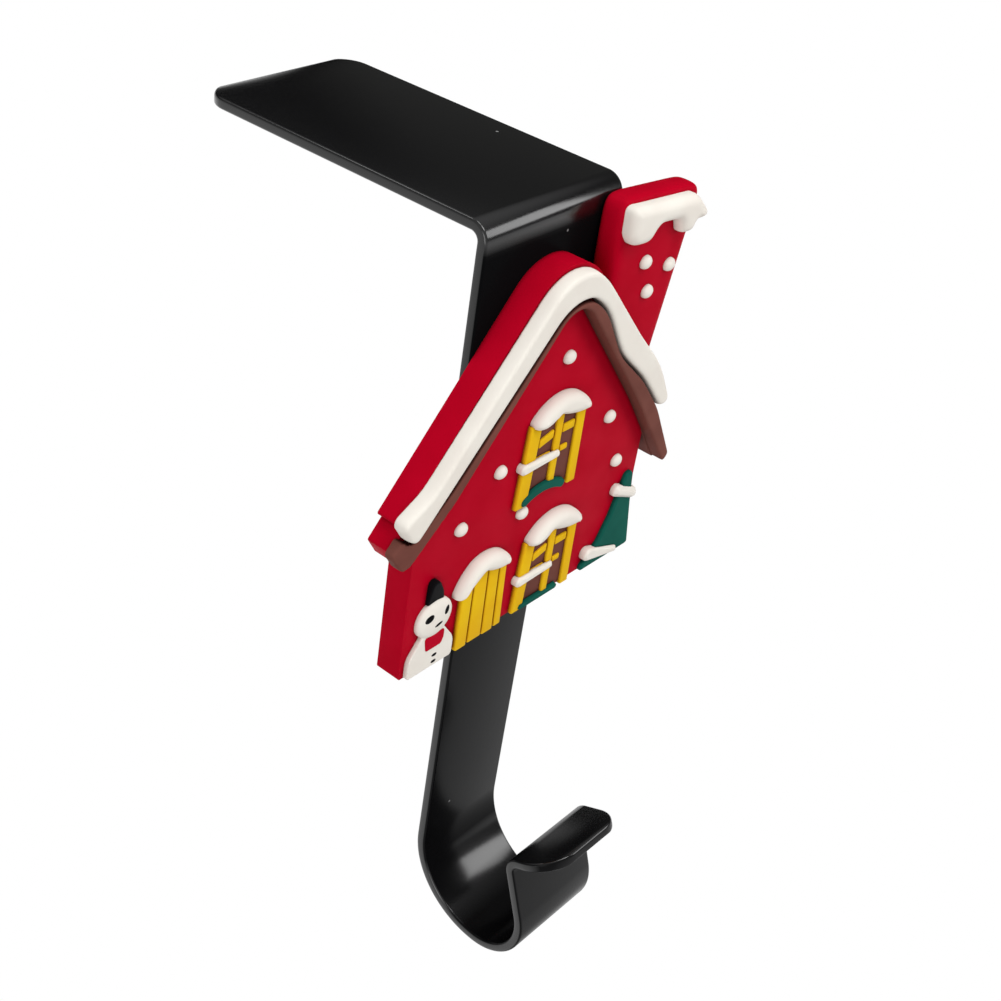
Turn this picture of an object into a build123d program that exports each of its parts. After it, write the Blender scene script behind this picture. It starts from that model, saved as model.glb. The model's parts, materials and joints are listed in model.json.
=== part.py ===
# Mantel stocking holder: a folded steel strap that carries a moulded house ornament on its front.
# Millimetres. The origin is the inside corner that sits on the shelf's front edge, at the strap's
# mid-line. X runs across the strap, Y to the back along the tongue, Z up.
import os
from math import cos, radians, sin, tan

from build123d import *

os.makedirs("parts", exist_ok=True)

# Steel strap
sheet = 2.0
strap_width = 35.0
hook_width = 22.0
tongue_reach = 63.0  # from the shelf's front face to the tongue's end
strap_drop = 150.0  # from the tongue's underside to the outside of the hook
shelf_bend = 1.5  # inside radius of the fold over the shelf's edge
shoulder_drop = 34.0  # where the strap begins to narrow, behind the house
shoulder_length = 18.0
shoulder_round = 8.0
hook_back_radius = 17.3  # outside of the hook, under the strap
hook_front_radius = 11.0  # outside of the hook, under its front wall
hook_lean = 20.0  # the front wall leans back by this angle
hook_rise = 10.6  # straight part of the front wall
lip_bend = 1.5
lip_slope = 24.0  # the lip rises by this angle as it goes forward
lip_length = 8.7
tongue_corner = 5.0
lip_corner = 7.5

# House body, moulded in soft PVC. Its heights are measured up from its foot.
house_drop = 76.2  # the foot lies this far under the tongue's underside
body_thickness = 5.0
wall_left = 31.8  # left wall from the strap's mid-line
foot_flare = 2.1  # the right wall spreads by this much at its foot
flare_height = 16.2
ridge_x = -0.6
ridge_height = 74.3  # where the two roof lines would meet
ridge_round = 10.7
left_pitch = 48.7
right_pitch = 46.8
left_roof = 53.7  # roof line from the ridge to its end
right_roof = 53.0
roof_curl = 2.9  # the right end of the roof turns in
corner_round = 0.5

# Eave board under the roof snow, given by its depth from the roof line
left_eave = 6.6
right_eave = 6.2  # at the ridge
right_eave_foot = 8.7  # near the roof's end
left_tail = 5.7  # how far the board runs past the roof's end
right_tail = 13.4
tail_depth = 9.2
tail_width = 2.3
board_rise = 1.8
board_groove = 0.35  # between the board and the roof snow

# Roof snow
snow_inset = 0.5  # from the roof line to the snow's upper edge
snow_depth = 5.0  # from the roof line to its lower edge
snow_wave = 1.2
left_snow_end = 3.4
snow_flare = 2.0  # the left end stands out from the roof line
snow_rise = 3.2
snow_bevel = 1.0

# Chimney, placed from the ridge
chimney_left = 12.4
chimney_top = 2.2
chimney_width = 21.8
chimney_foot = 16.1  # its width at the foot of the sloping right side
chimney_slant = 2.1  # the top falls by this much to the right
chimney_height = 29.6
chimney_round = 1.1
chimney_shoulder = 3.0  # rounding of the top right corner
chimney_overhang = 1.8  # its snow hangs over on the right
chimney_band = 4.4
chimney_drip = 3.0
chimney_snow_inset = 0.4
chimney_snow_rise = 1.6
chimney_snow_bevel = 0.7

# Snow dots
dot_width = 2.9
dot_rise = 1.0
dot_taper = 30.0
dot_gap = 0.3

# Windows
window_width = 16.5
left_post = 3.0
right_post = 2.3
middle_post = 1.8
post_lean = 1.0
crossbar = 1.8
lower_window_height = 15.3  # from the foot to the left end of its snow cap
upper_window_height = 16.5
crossbar_drop = 4.1  # under the left end of the snow cap
sill_drop = 8.0
storey_gap = 5.2  # from the lower snow cap to the upper window
upper_window_x = 1.35
pane_rise = 0.4
frame_rise = 0.8
frame_bevel = 0.25
cap_width = 16.2
cap_shift = 0.8  # the cap sits to the right of the window's middle
cap_crown = 4.0
cap_droop = 1.0  # its right end hangs lower than its left end
cap_drip = 0.9
cap_rise = 1.5
cap_bevel = 0.7
cap_corner = 0.85
sill_width = 10.2
sill_height = 2.0
sill_tip = 1.4  # its height at the right end
sill_overhang = 0.4
sill_rise = 1.6
garland_width = 10.0
upper_garland = 2.2  # its height across the upper window
lower_garland = 1.6
garland_arch = 1.2
garland_rise = 1.2
garland_taper = 15.0

# Door
door_planks = (3.2, 3.9, 3.2, 2.2)
door_height = 14.4
door_lean = 0.8  # the right edge leans in
door_rise = 0.9
door_bevel = 0.3
groove_width = 0.4
groove_depth = 0.4
door_step = 0.8  # between the snowman and the door
door_gap = 3.0  # between the door and the lower window
door_cap_left = 2.2  # overhang of the snow on the door's left
door_cap_crown = 6.5
door_cap_drip = 2.5

# Snowman
snowman_margin = 1.2  # from the left wall
snowman_width = 11.4
neck_height = 7.6
neck_width = 5.6
head_width = 8.8
head_height = 7.8
snowman_rise = 0.9
hat_height = 5.9
hat_width = 4.6
hat_rise = 1.4
trim_rise = 0.2  # face, scarf and buttons over the snowman
eye_width = 1.6
button_width = 1.3
scarf_height = 3.2

# Tree
tree_gap = 3.9  # between the lower window and the tree
tree_width = 15.3
tree_height = 18.2
tree_margin = 0.3
tree_rise = 0.9
tree_bevel = 0.3
upper_branch_snow = 2.4
lower_branch_snow = 2.8
branch_snow_tip = 1.4  # height of the lower snow's right end
branch_snow_rise = 1.6

# Planes of the house: its back lies on the strap, the reliefs stand on its front
foot_z = -house_drop
house_back = Plane(origin=(0, -sheet, foot_z), x_dir=(1, 0, 0), z_dir=(0, -1, 0))
house_front = house_back.offset(body_thickness)
left_angle = radians(left_pitch)
right_angle = radians(right_pitch)


def left_slope(run, depth):
    """Point on the left roof: run down from the ridge, depth in from the roof line."""
    x = ridge_x - run * cos(left_angle) + depth * sin(left_angle)
    return x, ridge_height - run * sin(left_angle) - depth * cos(left_angle)


def right_slope(run, depth):
    """Point on the right roof: run down from the ridge, depth in from the roof line."""
    x = ridge_x + run * cos(right_angle) - depth * sin(right_angle)
    return x, ridge_height - run * sin(right_angle) - depth * cos(right_angle)


def left_run(x, depth):
    """Run down the left roof at which a line at this depth reaches x."""
    return (ridge_x - x + depth * sin(left_angle)) / cos(left_angle)


def right_run(x, depth):
    """Run down the right roof at which a line at this depth reaches x."""
    return (x - ridge_x + depth * sin(right_angle)) / cos(right_angle)


def under_ridge(left_depth, right_depth):
    """Point where lines at these depths under the two roof lines cross."""
    left_fall = left_depth / cos(left_angle)
    right_fall = right_depth / cos(right_angle)
    across = (left_fall - right_fall) / (tan(left_angle) + tan(right_angle))
    return ridge_x + across, ridge_height - left_fall + across * tan(left_angle)


def rounded_face(*corners):
    """Face of the current sketch from corners given as (point, corner radius)."""
    with BuildLine() as rim:
        FilletPolyline([point for point, _ in corners], radius=[size for _, size in corners], close=True)
    make_face(rim.edges())


def post(left_x, right_x, bottom, top, left_lean=0, right_lean=0):
    """Upright face of the current sketch whose top corners lean to the right."""
    rounded_face(
        ((left_x, bottom), 0),
        ((right_x, bottom), 0),
        ((right_x + right_lean, top), 0),
        ((left_x + left_lean, top), 0),
    )


def bevel_front(piece, size):
    """Bevel the edges of a relief's foremost face."""
    chamfer(piece.faces().sort_by(Axis.Y)[0].edges(), length=size)


def lay_over(*pieces):
    """Let the current part lie over these pieces and fit round them."""
    for piece in pieces:
        add(piece.part, mode=Mode.SUBTRACT)


def save(piece, name):
    piece.part.label = name
    export_step(piece.part, f"parts/{name}.step")


# Strap: the sheet's shelf-side face is drawn from the tongue to the lip, then given its thickness
with BuildPart() as hook_strap:
    with BuildSketch(Plane.YZ):
        with BuildLine():
            tongue = Line((tongue_reach, 0), (shelf_bend, 0))
            fold = JernArc(tongue @ 1, tongue % 1, shelf_bend, 90)
            drop_line = Line(fold @ 1, (0, hook_back_radius - strap_drop))
            hook_back = JernArc(drop_line @ 1, drop_line % 1, hook_back_radius, -90)
            hook_front = JernArc(hook_back @ 1, hook_back % 1, hook_front_radius, -90 - hook_lean)
            front_wall = Line(hook_front @ 1, hook_front @ 1 + (hook_front % 1) * hook_rise)
            lip_fold = JernArc(front_wall @ 1, front_wall % 1, lip_bend, 90 + hook_lean - lip_slope)
            Line(lip_fold @ 1, lip_fold @ 1 + (lip_fold % 1) * lip_length)
            offset(amount=sheet, side=Side.RIGHT)
        make_face()
    extrude(amount=strap_width / 2, both=True)
    with BuildSketch(Plane.XZ):
        shoulder_foot = -shoulder_drop - shoulder_length
        rounded_face(
            ((-strap_width / 2, sheet), 0),
            ((-strap_width / 2, -shoulder_drop), shoulder_round),
            ((-hook_width / 2, shoulder_foot), shoulder_round),
            ((-hook_width / 2, -strap_drop), 0),
            ((hook_width / 2, -strap_drop), 0),
            ((hook_width / 2, shoulder_foot), shoulder_round),
            ((strap_width / 2, -shoulder_drop), shoulder_round),
            ((strap_width / 2, sheet), 0),
        )
    extrude(amount=strap_drop, both=True, mode=Mode.INTERSECT)
    tongue_end = hook_strap.faces().sort_by(Axis.Y)[-1]
    fillet(tongue_end.edges().filter_by(Axis.Z), radius=tongue_corner)
    lip_end = hook_strap.faces().sort_by(Axis.Y)[0]
    fillet(lip_end.edges().sort_by(Edge.length)[:2], radius=lip_corner)
save(hook_strap, "hook_strap")

# Positions along the foot of the house, from left to right
snowman_left = snowman_margin - wall_left
snowman_right = snowman_left + snowman_width
door_left = snowman_right + door_step
door_right = door_left + sum(door_planks)
lower_window_x = door_right + door_gap + window_width / 2
tree_left = lower_window_x + window_width / 2 + tree_gap
tree_right = tree_left + tree_width
foot_right = tree_right + tree_margin
wall_right = foot_right - foot_flare

# Outlines that the body shares with the board over it
board_tip = right_roof + right_tail
board_outline = (
    (left_slope(left_roof + 0.75 * left_tail, left_eave / 4), corner_round),
    (left_slope(left_roof + left_tail, left_eave), 2 * corner_round),
    (under_ridge(left_eave, right_eave), ridge_round / 2),
    (right_slope(0.85 * right_roof, right_eave_foot), ridge_round),
    (right_slope(board_tip, tail_depth + tail_width), corner_round),
    (right_slope(board_tip, tail_depth), 2 * corner_round),
    (right_slope(right_roof, snow_depth + snow_wave), 0),
    (right_slope(0.9 * right_roof, snow_depth / 2), 0),
    (under_ridge(snow_depth / 2, snow_depth / 2), ridge_round - snow_depth / 2),
    (left_slope(0.9 * left_roof, left_eave / 4), 0),
)
chimney_x = ridge_x + chimney_left
chimney_right = chimney_x + chimney_width
chimney_peak = ridge_height + chimney_top
chimney_corner = chimney_peak - chimney_slant

with BuildPart() as house_body:
    with BuildSketch(house_back):
        rounded_face(
            ((-wall_left, 0), corner_round),
            ((foot_right, 0), corner_round),
            ((wall_right, flare_height), ridge_round / 2),
            (right_slope(right_run(wall_right, right_eave_foot), right_eave_foot), 0),
            (under_ridge(left_eave, right_eave), 0),
            (left_slope(left_run(-wall_left, left_eave / 2), left_eave / 2), 0),
        )
        rounded_face(
            ((ridge_x, ridge_height), ridge_round),
            (right_slope(0.82 * right_roof, 0), ridge_round),
            (right_slope(right_roof, roof_curl), 3 * corner_round),
            (right_slope(right_roof, snow_depth + snow_wave), 0),
            (under_ridge(left_eave, right_eave), 0),
            (left_slope(left_roof, left_eave / 2), 0),
            (left_slope(left_roof, 0), corner_round),
        )
        rounded_face(*board_outline)
        rounded_face(
            ((chimney_x, chimney_peak), chimney_round),
            ((chimney_right, chimney_corner), chimney_shoulder),
            ((chimney_x + chimney_foot, chimney_corner - chimney_height), 0),
            (right_slope(0.7 * right_roof, snow_depth / 2), 0),
            (right_slope(0.3 * right_roof, snow_depth / 2), 0),
        )
    extrude(amount=body_thickness)
save(house_body, "house_body")

snow_outline = (
    (under_ridge(snow_inset, snow_inset), ridge_round - snow_inset),
    (right_slope(0.8 * right_roof, 2 * snow_inset), ridge_round),
    (right_slope(right_roof, roof_curl + snow_inset), 2.2 * corner_round),
    (right_slope(right_roof, snow_depth + snow_wave / 2), 2.2 * corner_round),
    (right_slope(0.77 * right_roof, snow_depth), ridge_round),
    (right_slope(0.55 * right_roof, snow_depth + snow_wave), ridge_round / 2),
    (right_slope(0.33 * right_roof, snow_depth - snow_wave), ridge_round / 2),
    (under_ridge(snow_depth + snow_wave / 2, snow_depth - snow_wave / 2), 0.8 * ridge_round),
    (left_slope(left_roof + left_snow_end / 2, left_snow_end), 2.4 * corner_round),
    (left_slope(left_roof, -snow_flare), 2.2 * corner_round),
    (left_slope(0.88 * left_roof, snow_inset), ridge_round),
)
with BuildPart() as roof_snow:
    with BuildSketch(house_front):
        rounded_face(*snow_outline)
    extrude(amount=snow_rise)
    bevel_front(roof_snow, snow_bevel)
save(roof_snow, "roof_snow")

with BuildPart() as eave_board:
    with BuildSketch(house_front):
        rounded_face(*board_outline)
    extrude(amount=board_rise)
    with BuildSketch(house_front):
        rounded_face(*snow_outline)
        offset(amount=board_groove)
    extrude(amount=board_rise, mode=Mode.SUBTRACT)
save(eave_board, "eave_board")


def chimney_point(share, below):
    """Point at a share of the chimney's width, this far below its sloping top."""
    return chimney_x + share * chimney_width, chimney_peak - share * chimney_slant - below


with BuildPart() as chimney_snow:
    drip_depth = chimney_band + chimney_drip
    end_depth = chimney_band + chimney_drip / 3
    tip_share = 1 + chimney_overhang / chimney_width
    with BuildSketch(house_front):
        rounded_face(
            (chimney_point(0, chimney_snow_inset), chimney_round),
            (chimney_point(0.86, chimney_snow_inset), 3 * chimney_round),
            (chimney_point(tip_share, chimney_band), chimney_round),
            (chimney_point(1, end_depth), chimney_round),
            (chimney_point(0.88, end_depth), corner_round),
            (chimney_point(0.86, drip_depth), chimney_round),
            (chimney_point(0.71, drip_depth), chimney_round),
            (chimney_point(0.67, chimney_band), 2 * chimney_round),
            (chimney_point(0.36, chimney_band), 2 * chimney_round),
            (chimney_point(0.27, drip_depth), 2 * chimney_round),
            (chimney_point(0.05, drip_depth), 2 * chimney_round),
            (chimney_point(0, end_depth), chimney_round),
        )
    extrude(amount=chimney_snow_rise)
    bevel_front(chimney_snow, chimney_snow_bevel)
save(chimney_snow, "chimney_snow")


def snow_bar(start, end, height, tip_height, rise, under):
    """Round-ended bar of snow that lies over the pieces under it, with its own height at each end."""
    along = (Vector(*end) - Vector(*start)).normalized()
    across = along.rotate(Axis.Z, 90)
    first = height / 2
    last = tip_height / 2
    with BuildPart() as bar:
        with BuildSketch(house_front):
            rounded_face(
                (Vector(*start) - (along + across) * first, 0.85 * first),
                (Vector(*end) + (along - across) * last, 0.85 * last),
                (Vector(*end) + (along + across) * last, 0.85 * last),
                (Vector(*start) + (across - along) * first, 0.85 * first),
            )
        extrude(amount=rise)
        bevel_front(bar, 0.6 * last)
        lay_over(*under)
    return bar


def snow_cap(left, crown, right, right_drip, notch, left_drip, under):
    """Bowed cap of snow with two soft drips that lies over the pieces under it."""
    with BuildPart() as cap:
        with BuildSketch(house_front) as cap_face:
            with BuildLine():
                ThreePointArc(left, crown, right)
                ThreePointArc(right, right_drip, notch)
                ThreePointArc(notch, left_drip, left)
            make_face()
            fillet(cap_face.vertices(), radius=cap_corner)
        extrude(amount=cap_rise)
        bevel_front(cap, cap_bevel)
        lay_over(*under)
    return cap


def window(name, middle, foot, cap_end, garland_height, arch):
    """Window with leaning posts: cap_end is the height of its snow cap's left end."""
    left = middle - window_width / 2
    right = middle + window_width / 2
    right_lean = -post_lean / 3
    middle_left = middle + (left_post - right_post + post_lean - middle_post) / 2
    post_top = cap_end + cap_drip
    with BuildPart() as panes:
        with BuildSketch(house_front):
            post(left + left_post / 2, right - right_post / 2, foot + garland_height / 2, cap_end)
        extrude(amount=pane_rise)
    with BuildPart() as frame:
        with BuildSketch(house_front):
            post(left, left + left_post, foot, cap_end, post_lean, post_lean)
            post(right - right_post, right, foot, cap_end - cap_droop / 2, right_lean, right_lean)
            post(middle_left, middle_left + middle_post, foot + garland_height, post_top)
            for bar_height in (cap_end - crossbar_drop, cap_end - sill_drop):
                bar_foot = bar_height - crossbar / 2
                post(left + left_post / 2 + post_lean, right - right_post / 2, bar_foot, bar_foot + crossbar)
        extrude(amount=frame_rise)
        bevel_front(frame, frame_bevel)
        lay_over(panes)
    cap_left = middle + cap_shift - cap_width / 2
    cap = snow_cap(
        left=(cap_left, cap_end),
        crown=(cap_left + 0.47 * cap_width, cap_end + cap_crown),
        right=(cap_left + cap_width, cap_end - cap_droop),
        right_drip=(cap_left + 0.74 * cap_width, cap_end - cap_drip),
        notch=(cap_left + 0.38 * cap_width, cap_end + cap_drip),
        left_drip=(cap_left + 0.14 * cap_width, cap_end - cap_drip),
        under=(frame, panes),
    )
    sill_start = (left - sill_overhang + sill_height / 2, cap_end - sill_drop)
    sill_end = (left - sill_overhang + sill_width - sill_tip / 2, cap_end - sill_drop)
    sill = snow_bar(sill_start, sill_end, sill_height, sill_tip, sill_rise, (frame, panes))
    garland_x = middle - left_post / 3
    garland_level = foot + garland_height / 2
    garland_ends = [(garland_x + side * garland_width / 2, garland_level) for side in (-1, 1)]
    with BuildPart() as garland:
        with BuildSketch(house_front):
            with BuildLine(mode=Mode.PRIVATE) as rail:
                if arch:
                    ThreePointArc(garland_ends[0], (garland_x, garland_level + arch), garland_ends[1])
                else:
                    Line(*garland_ends)
            SlotArc(rail.edge(), garland_height)
        extrude(amount=garland_rise, taper=garland_taper)
        lay_over(frame, panes)
    save(panes, f"{name}_window_panes")
    save(frame, f"{name}_window_frame")
    save(cap, f"{name}_window_snow_cap")
    save(sill, f"{name}_window_sill_snow")
    save(garland, f"{name}_window_garland")


upper_window_foot = lower_window_height + cap_crown + storey_gap
upper_cap_end = upper_window_foot + upper_window_height
window("lower", lower_window_x, 0, lower_window_height, lower_garland, 0)
window("upper", upper_window_x, upper_window_foot, upper_cap_end, upper_garland, garland_arch)

# Snow dots on the chimney and round the upper window
upper_left = upper_window_x - window_width / 2
upper_right = upper_window_x + window_width / 2
upper_sill = upper_cap_end - sill_drop
dot_radius = dot_width / 2
left_dot = (upper_left - sill_overhang - 3.2 * dot_radius, upper_sill + dot_radius)
dot_centres = (
    chimney_point(0.38, 0.4 * chimney_height),
    chimney_point(0.73, 0.46 * chimney_height),
    chimney_point(0.48, 0.6 * chimney_height),
    (upper_window_x + 0.7 * dot_radius, upper_cap_end + cap_crown + 4.5 * dot_radius),
    left_dot,
    (left_dot[0] - 5.9 * dot_radius, left_dot[1] - 5.4 * dot_radius),
    right_slope(0.8 * right_roof, right_eave_foot + 3.5 * dot_radius),
    (upper_right + 9.6 * dot_radius, upper_sill - 7.2 * dot_radius),
    (upper_left + left_post, upper_window_foot - dot_gap - dot_radius),
)
for number, dot_centre in enumerate(dot_centres, start=1):
    with BuildPart() as snow_dot:
        with BuildSketch(house_front):
            with Locations(dot_centre):
                Circle(dot_radius)
        extrude(amount=dot_rise, taper=dot_taper)
    save(snow_dot, f"snow_dot_{number}")

door_middle = (door_left + door_right) / 2
with BuildPart() as door:
    with BuildSketch(house_front):
        rounded_face(
            ((door_left, 0), 0),
            ((door_right, 0), 0),
            ((door_right - door_lean, door_height), 0),
            ((door_middle, door_height + door_cap_drip / 2), 0),
            ((door_left, door_height - door_cap_drip / 2), 0),
        )
    extrude(amount=door_rise)
    bevel_front(door, door_bevel)
    with BuildSketch(house_front.offset(door_rise)):
        for number in range(1, len(door_planks)):
            groove_x = door_left + sum(door_planks[:number])
            post(groove_x - groove_width / 2, groove_x + groove_width / 2, 0, door_height + door_cap_drip)
    extrude(amount=-groove_depth, mode=Mode.SUBTRACT)
save(door, "door")

snowman_x = (snowman_left + snowman_right) / 2
neck_left = snowman_x - neck_width / 2
neck_right = snowman_x + neck_width / 2
head_level = neck_height + 0.38 * head_height
with BuildPart() as snowman:
    with BuildSketch(house_front):
        rounded_face(
            ((snowman_left, 0), corner_round),
            ((snowman_left, neck_height / 2), neck_height / 2),
            ((neck_left, neck_height), 0),
            ((neck_right, neck_height), 0),
            ((snowman_right, neck_height / 2), neck_height / 2),
            ((snowman_right, 0), corner_round),
        )
        with Locations((snowman_x, head_level)):
            Ellipse(head_width / 2, head_height / 2)
    extrude(amount=snowman_rise)
save(snowman, "snowman")

with BuildPart() as snowman_hat:
    hat_foot = head_level + head_height / 3
    hat_left = snowman_x - hat_width / 2
    with BuildSketch(house_front):
        rounded_face(
            ((hat_left, hat_foot + hat_height / 8), corner_round),
            ((hat_left + hat_width, hat_foot), corner_round),
            ((hat_left + 0.8 * hat_width, hat_foot + hat_height / 2), hat_width / 2),
            ((hat_left + 0.4 * hat_width, hat_foot + hat_height), hat_width / 6),
            ((hat_left + 0.05 * hat_width, hat_foot + hat_height), hat_width / 6),
        )
    extrude(amount=hat_rise)
    lay_over(snowman)
save(snowman_hat, "snowman_hat")

door_cap_width = door_cap_left + sum(door_planks)
door_cap_x = door_left - door_cap_left
door_cap_end = door_height - door_cap_drip
door_snow = snow_cap(
    left=(door_cap_x, door_cap_end),
    crown=(door_cap_x + 0.63 * door_cap_width, door_cap_end + door_cap_crown),
    right=(door_cap_x + door_cap_width, door_cap_end + door_cap_drip),
    right_drip=(door_cap_x + 0.79 * door_cap_width, door_cap_end + 0.9 * door_cap_drip),
    notch=(door_cap_x + 0.46 * door_cap_width, door_cap_end + 1.5 * door_cap_drip),
    left_drip=(door_cap_x + 0.25 * door_cap_width, door_cap_end + 0.65 * door_cap_drip),
    under=(door, snowman),
)
save(door_snow, "door_snow")

snowman_face = house_front.offset(snowman_rise)


def trim(name, centre, width, height):
    """Small oval on the front of the snowman."""
    with BuildPart() as oval:
        with BuildSketch(snowman_face):
            with Locations(centre):
                RectangleRounded(width, height, radius=0.48 * min(width, height))
        extrude(amount=trim_rise)
    save(oval, name)


eye_level = head_level + 0.7 * eye_width
trim("snowman_left_eye", (snowman_x - 1.3 * eye_width, eye_level), eye_width, 0.9 * eye_width)
trim("snowman_right_eye", (snowman_x + 1.4 * eye_width, eye_level), 0.6 * eye_width, 0.9 * eye_width)
trim("snowman_mouth", (snowman_x + eye_width / 5, head_level - 0.6 * eye_width), eye_width, eye_width / 3)
button_x = snowman_x + 0.7 * button_width
trim("snowman_lower_button", (button_x, 0.6 * button_width), button_width, button_width / 2)
trim("snowman_upper_button", (button_x, 1.7 * button_width), button_width, button_width / 2)

with BuildPart() as snowman_scarf:
    scarf_top = neck_height - scarf_height / 10
    scarf_foot = scarf_top - scarf_height
    with BuildSketch(snowman_face):
        rounded_face(
            ((neck_left + 0.1 * neck_width, scarf_top), corner_round),
            ((neck_left + 0.2 * neck_width, scarf_foot), corner_round),
            ((neck_left + 0.9 * neck_width, scarf_foot), corner_round),
            ((neck_right, scarf_foot + 0.4 * scarf_height), corner_round),
            ((neck_right, scarf_top), corner_round),
        )
    extrude(amount=trim_rise)
save(snowman_scarf, "snowman_scarf")


def tree_point(across, up):
    """Point at shares of the tree's width and height."""
    return tree_left + across * tree_width, up * tree_height


with BuildPart() as tree:
    with BuildSketch(house_front):
        rounded_face(
            (tree_point(0, 0), corner_round),
            (tree_point(0.02, 0.06), corner_round),
            (tree_point(0.3, 0.27), 6 * corner_round),
            (tree_point(0.46, 0.52), 6 * corner_round),
            (tree_point(0.66, 1), 2 * corner_round),
            (tree_point(0.79, 1), 2 * corner_round),
            (tree_point(0.87, 0.58), 8 * corner_round),
            (tree_point(1, 0), corner_round),
        )
    extrude(amount=tree_rise)
    bevel_front(tree, tree_bevel)
save(tree, "tree")

tree_upper_snow = snow_bar(
    start=tree_point(0.5, 0.84),
    end=tree_point(0.84, 0.71),
    height=upper_branch_snow,
    tip_height=upper_branch_snow,
    rise=branch_snow_rise,
    under=(tree,),
)
save(tree_upper_snow, "tree_upper_snow")

tree_lower_snow = snow_bar(
    start=tree_point(0.1, 0.19),
    end=tree_point(0.65, 0.06),
    height=lower_branch_snow,
    tip_height=branch_snow_tip,
    rise=branch_snow_rise,
    under=(tree,),
)
save(tree_lower_snow, "tree_lower_snow")
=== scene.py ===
import json
import math

import bmesh
import bpy
from mathutils import Matrix, Vector
from mathutils.bvhtree import BVHTree


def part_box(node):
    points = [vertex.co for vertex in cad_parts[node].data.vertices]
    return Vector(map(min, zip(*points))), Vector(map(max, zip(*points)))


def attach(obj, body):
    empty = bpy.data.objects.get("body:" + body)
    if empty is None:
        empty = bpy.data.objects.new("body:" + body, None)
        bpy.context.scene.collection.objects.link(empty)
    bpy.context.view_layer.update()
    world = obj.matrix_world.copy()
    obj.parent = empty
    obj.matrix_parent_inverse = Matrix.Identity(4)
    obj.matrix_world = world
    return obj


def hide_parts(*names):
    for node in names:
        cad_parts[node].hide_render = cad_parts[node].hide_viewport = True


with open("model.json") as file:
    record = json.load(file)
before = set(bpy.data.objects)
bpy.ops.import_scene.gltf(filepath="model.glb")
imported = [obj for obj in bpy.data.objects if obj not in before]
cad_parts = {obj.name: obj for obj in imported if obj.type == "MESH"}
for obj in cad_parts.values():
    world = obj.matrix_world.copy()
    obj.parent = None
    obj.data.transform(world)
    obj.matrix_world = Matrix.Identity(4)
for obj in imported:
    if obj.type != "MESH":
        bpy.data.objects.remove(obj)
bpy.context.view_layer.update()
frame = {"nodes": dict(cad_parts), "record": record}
nodes = frame["nodes"]
mm = 0.001
near = 0.02  # corners this close, in mm, lie on one face
wallFront = -7.0  # y of the house's front face, in mm
houseFoot = -76.2  # z of the house's foot, in mm
print("frame loaded,", len(nodes), "nodes")


class Flow:  # one socket of a material, so that shader sums read as plain sums
    def __init__(self, tree, socket):
        self.tree, self.socket = tree, socket

    def sum(self, operation, first, second):
        return self.tree.node("ShaderNodeMath", {"operation": operation}, {0: first, 1: second})

    def __add__(self, other):
        return self.sum("ADD", self, other)

    def __radd__(self, other):
        return self.sum("ADD", other, self)

    def __sub__(self, other):
        return self.sum("SUBTRACT", self, other)

    def __rsub__(self, other):
        return self.sum("SUBTRACT", other, self)

    def __mul__(self, other):
        return self.sum("MULTIPLY", self, other)

    def __rmul__(self, other):
        return self.sum("MULTIPLY", other, self)

    def __gt__(self, other):
        return self.sum("GREATER_THAN", self, other)

    def __lt__(self, other):
        return self.sum("LESS_THAN", self, other)


class Finish:  # the node tree of a material or of the world
    def __init__(self, name, tree=None):
        if tree is None:
            self.material = bpy.data.materials.new(name)
            self.material.use_nodes = True
            tree = self.material.node_tree
        self.tree = tree
        self.tree.nodes.clear()

    def node(self, kind, settings=None, sockets=None, out=0):
        made = self.tree.nodes.new(kind)
        for key, value in (settings or {}).items():
            setattr(made, key, value)
        for key, value in (sockets or {}).items():
            if isinstance(key, str):
                socket = next(s for s in made.inputs if key in (s.identifier, s.name) and s.enabled)
            else:
                socket = made.inputs[key]
            if isinstance(value, Flow):
                self.tree.links.new(value.socket, socket)
            else:
                socket.default_value = value
        return Flow(self, made.outputs[out]) if made.outputs else None

    def mix(self, share, first, second):
        return self.node("ShaderNodeMix", {"data_type": "RGBA"},
                         {"Factor_Float": share, "A_Color": first, "B_Color": second}, 2)

    def noise(self, place, scale, detail=2.0):
        return self.node("ShaderNodeTexNoise", {"noise_dimensions": "3D"},
                         {"Vector": place, "Scale": scale, "Detail": detail})

    def spread(self, value, low, high, toLow=0.0, toHigh=1.0):
        return self.node("ShaderNodeMapRange", {"clamp": True}, {
            "Value": value, "From Min": low, "From Max": high, "To Min": toLow, "To Max": toHigh})

    def parts(self, vector, *axes):  # chosen parts of a vector: 0 is x, 1 is y, 2 is z
        return [self.node("ShaderNodeSeparateXYZ", {}, {0: vector}, axis) for axis in axes]


def linear(red, green, blue):  # 0-255 screen values to a linear colour
    def one(value):
        value /= 255
        return value / 12.92 if value <= 0.04045 else ((value + 0.055) / 1.055) ** 2.4
    return one(red), one(green), one(blue), 1.0


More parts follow.
